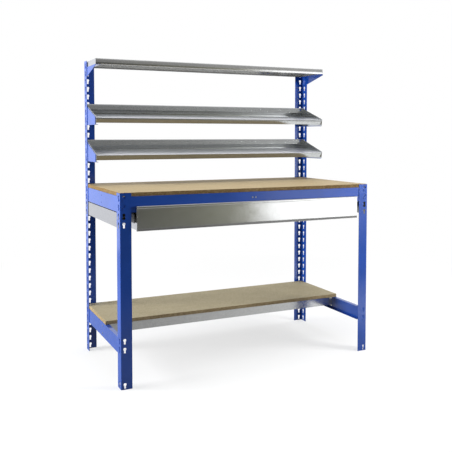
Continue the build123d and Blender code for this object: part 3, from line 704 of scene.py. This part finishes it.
def floorWhite():
    # A matt surface that gives way to a glow away from the bench. Both are white to the camera, dim to diffuse
    # rays, and to glossy rays paler to the right and darker far in front
    settings = floorSettings
    material, tree, shader = newMaterial("floorWhite")
    point = addNode(tree, "TexCoord").outputs["Object"]
    distance = addNode(tree, "VectorMath", {"Vector": point}, operation="LENGTH").outputs["Value"]
    far = rangeOf(tree, distance, settings["near"], 1, *settings["fade"])
    path = addNode(tree, "LightPath").outputs
    axes = addNode(tree, "SeparateXYZ", {"Vector": point}).outputs
    mirrored = rangeOf(tree, axes["X"], *settings["mirrored"], *settings["mirroredX"])
    beside = rangeOf(tree, axes["X"], 1.0, settings["mirroredRight"], *settings["rightX"])
    nearness = rangeOf(tree, axes["Y"], settings["mirroredFar"], 1.0, *settings["farY"])
    mirrored = worked(tree, "MULTIPLY", worked(tree, "MULTIPLY", mirrored, beside), nearness)
    shade = mixColour(tree, path["Is Glossy Ray"], grey(1), mirrored)
    shade = mixColour(tree, path["Is Diffuse Ray"], shade, grey(settings["bounce"]))
    connect(tree, shader, {
        "Base Color": mixColour(tree, 1.0, shade, grey(settings["tone"]), "MULTIPLY"),
        "Roughness": settings["roughness"],
        "Specular IOR Level": settings["specular"],
    })
    white = addNode(tree, "Emission", {"Color": shade, "Strength": 1.0}).outputs["Emission"]
    mix = addNode(tree, "MixShader", {0: far, 1: shader.outputs["BSDF"], 2: white})
    tree.links.new(mix.outputs["Shader"], tree.nodes["Material Output"].inputs["Surface"])
    return material


def paleFloor():
    # Rings of points round the origin, wider apart outwards
    rings, sectors = floorSettings["rings"], floorSettings["sectors"]
    radius = floorSettings["radius"] * np.linspace(0, 1, rings) ** floorSettings["spread"]
    turn = np.linspace(0, 2 * math.pi, sectors, endpoint=False)
    ringX, ringY = radius[:, None] * np.cos(turn), radius[:, None] * np.sin(turn)
    points = np.stack([ringX, ringY, np.zeros_like(ringX)], -1).reshape(-1, 3)
    mesh = bpy.data.meshes.new("floor")
    mesh.from_pydata(points.tolist(), [], gridFaces(rings, sectors, wrap=True)[:, ::-1].tolist())
    mesh.materials.append(floorWhite())
    floor = bpy.data.objects.new("floor", mesh)
    scene.collection.objects.link(floor)


paleFloor()

# World: white for camera and glass rays, a studio with a dark end behind the camera for glossy rays,
# and a soft fill for the rest. Headings are degrees to the right of -Y, heights are Z of the ray.
worldSettings = {
    "fill": (0.088, 0.096, 0.100),
    "card": [  # heading and tone
        (4.0, 0.02), (16.0, 0.03), (21.0, 0.14), (25.0, 0.22), (27.3, 0.36), (28.9, 2.25), (33.0, 2.25),
        (34.4, 2.7), (35.4, 2.7), (38.0, 0.9), (44.0, 0.7),
    ],
    "darkTint": (1.0, 1.02, 0.62), "brightTint": (0.99, 1.0, 1.03),
    "cardTop": (0.0, 0.06), "overCard": (0.225, 0.475), "overHeading": (15.0, 33.0),
    "cardFoot": (-0.125, -0.165), "underCard": 0.16,
    "leftHeading": (-54.0, -66.0), "leftTone": (0.92, 0.94, 1.02),
    "backHeading": (60.0, 80.0), "backTone": (0.95, 0.96, 1.0),
    "ceiling": (0.22, 0.45), "ceilingTone": (1.05, 1.06, 1.12),
}


def tinted(tone):
    # The tone times a tint that goes from the dark one to the bright one as the tone goes from 0 to 1
    share = min(tone, 1)
    tints = zip(worldSettings["darkTint"], worldSettings["brightTint"])
    return tuple(tone * (dark + (bright - dark) * share) for dark, bright in tints)


def studioWorld():
    # Brightness of a reflected ray by its heading: a lit card to the right of -Y with a soft near edge and a top,
    # dark left of it, bright walls at the sides and back, and a bright ceiling over all
    settings = worldSettings
    world = bpy.data.worlds.new("studio")
    scene.world = world
    world.use_nodes = True
    tree = world.node_tree
    tree.nodes.clear()
    ray = addNode(tree, "TexCoord").outputs["Generated"]
    axes = addNode(tree, "SeparateXYZ", {"Vector": ray}).outputs
    turn = worked(tree, "ARCTAN2", axes["X"], worked(tree, "MULTIPLY", axes["Y"], -1.0))
    heading = worked(tree, "MULTIPLY", turn, 180 / math.pi)
    card = settings["card"]
    lowest, highest = card[0][0], card[-1][0]
    stops = [((at - lowest) / (highest - lowest), tinted(tone)) for at, tone in card]
    lit = colourRamp(tree, rangeOf(tree, heading, 0, 1, lowest, highest), stops)
    over = rangeOf(tree, heading, *settings["overCard"], *settings["overHeading"])
    for by, bounds, tone in (
        (axes["Z"], "cardTop", over),
        (axes["Z"], "cardFoot", grey(settings["underCard"])),
        (heading, "leftHeading", (*settings["leftTone"], 1)),
        (heading, "backHeading", (*settings["backTone"], 1)),
        (axes["Z"], "ceiling", (*settings["ceilingTone"], 1)),
    ):
        lit = mixColour(tree, rangeOf(tree, by, 0, 1, *settings[bounds]), lit, tone)
    path = addNode(tree, "LightPath").outputs
    seen = worked(tree, "MAXIMUM", path["Is Camera Ray"], path["Is Transmission Ray"])
    colour = mixColour(tree, path["Is Glossy Ray"], (*settings["fill"], 1), lit)
    colour = mixColour(tree, seen, colour, grey(1))
    background = addNode(tree, "Background", {"Color": colour, "Strength": 1.0}).outputs["Background"]
    connect(tree, addNode(tree, "OutputWorld"), {"Surface": background})


studioWorld()

# Lamps: place (m), aim (m), size (m), power (W)
lampSettings = {
    "leftBank": {"place": (-3.6, 0.6, 1.3), "aim": (0, 0.1, 0.8), "size": 2.0, "power": 230},
    "rightFront": {"place": (1.75, -1.35, 1.0), "aim": (0.6, -0.2, 0.7), "size": 0.8, "power": 38},
    "overhead": {"place": (0.2, -0.2, 3.6), "aim": (0, 0.1, 0.8), "size": 2.0, "power": 57},
    "rightSide": {"place": (3.4, 0.9, 0.7), "aim": (0, 0.1, 0.8), "size": 1.8, "power": 58},
    "rearSoft": {"place": (0.4, 3.6, 0.6), "aim": (0, 0.3, 0.8), "size": 2.4, "power": 48},
}
for name, lamp in lampSettings.items():
    data = bpy.data.lights.new(name, "AREA")
    data.shape, data.size, data.energy = "SQUARE", lamp["size"], lamp["power"]
    light = bpy.data.objects.new(name, data)
    aim = np.array(lamp["aim"]) - np.array(lamp["place"])
    yaw, pitch = math.atan2(-aim[0], aim[1]), math.atan2(aim[2], math.hypot(aim[0], aim[1]))
    turn = Matrix.Rotation(yaw, 4, "Z") @ Matrix.Rotation(math.pi / 2 + pitch, 4, "X")
    light.matrix_world = Matrix.Translation(lamp["place"]) @ turn
    light.visible_glossy = False
    scene.collection.objects.link(light)
print("studio made")

# Camera, from a fit to the corners of the posts: place (m), angles (degrees), focal length and width (pixels),
# sensor (mm)
cameraSettings = {
    "place": (-1.3884, -2.9697, 1.0624), "yaw": 25.07, "pitch": 2.70, "focal": 666.5, "shiftY": -0.13,
    "sensor": 36.0, "pictureWidth": 452,
}
camera = bpy.data.objects.new("camera", bpy.data.cameras.new("camera"))
camera.data.sensor_width = cameraSettings["sensor"]
camera.data.lens = cameraSettings["focal"] * cameraSettings["sensor"] / cameraSettings["pictureWidth"]
camera.data.shift_y = cameraSettings["shiftY"]
camera.matrix_world = (
    Matrix.Translation(cameraSettings["place"])
    @ Matrix.Rotation(-math.radians(cameraSettings["yaw"]), 4, "Z")
    @ Matrix.Rotation(math.radians(90 - cameraSettings["pitch"]), 4, "X")
)
scene.collection.objects.link(camera)
scene.camera = camera
scene.view_settings.view_transform = "Standard"

print("scene ready")
